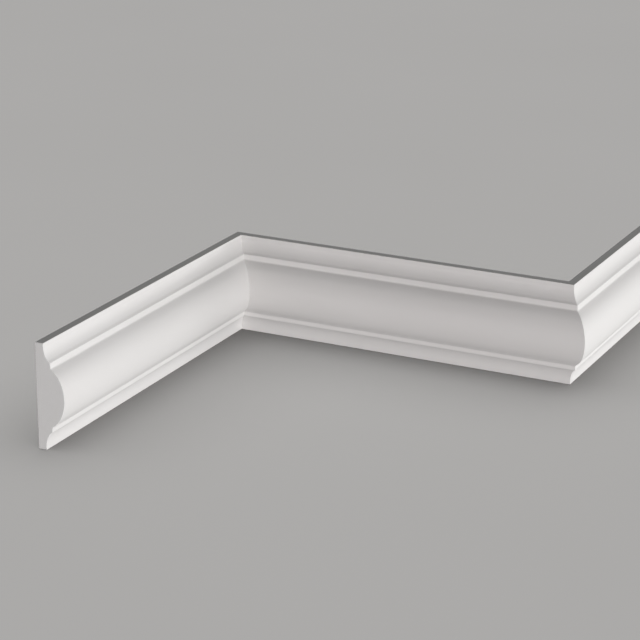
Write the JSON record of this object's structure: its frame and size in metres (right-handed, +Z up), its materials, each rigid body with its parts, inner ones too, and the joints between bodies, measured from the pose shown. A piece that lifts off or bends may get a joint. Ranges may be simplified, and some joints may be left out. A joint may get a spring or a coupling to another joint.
{
  "type": "wall moulding",
  "caption": "White wall moulding with a rounded belly between fillets and coves, in lengths mitred round an inner and an outer wall corner.",
  "frame": {"origin": "centre of the middle length's flat back, on the wall and at half the moulding's height", "axes": "+Z up; +Y from the room into the middle wall, so the middle length faces -Y; the left and right lengths run along Y and face +X"},
  "size_m": [0.3068, 0.468, 0.08],
  "materials": {
    "white_paint": "satin white wall paint over hard foam"
  },
  "bodies": {
    "root": {"moulding_left": "white_paint", "moulding_middle": "white_paint", "moulding_right": "white_paint"}
  },
  "joints": []
}
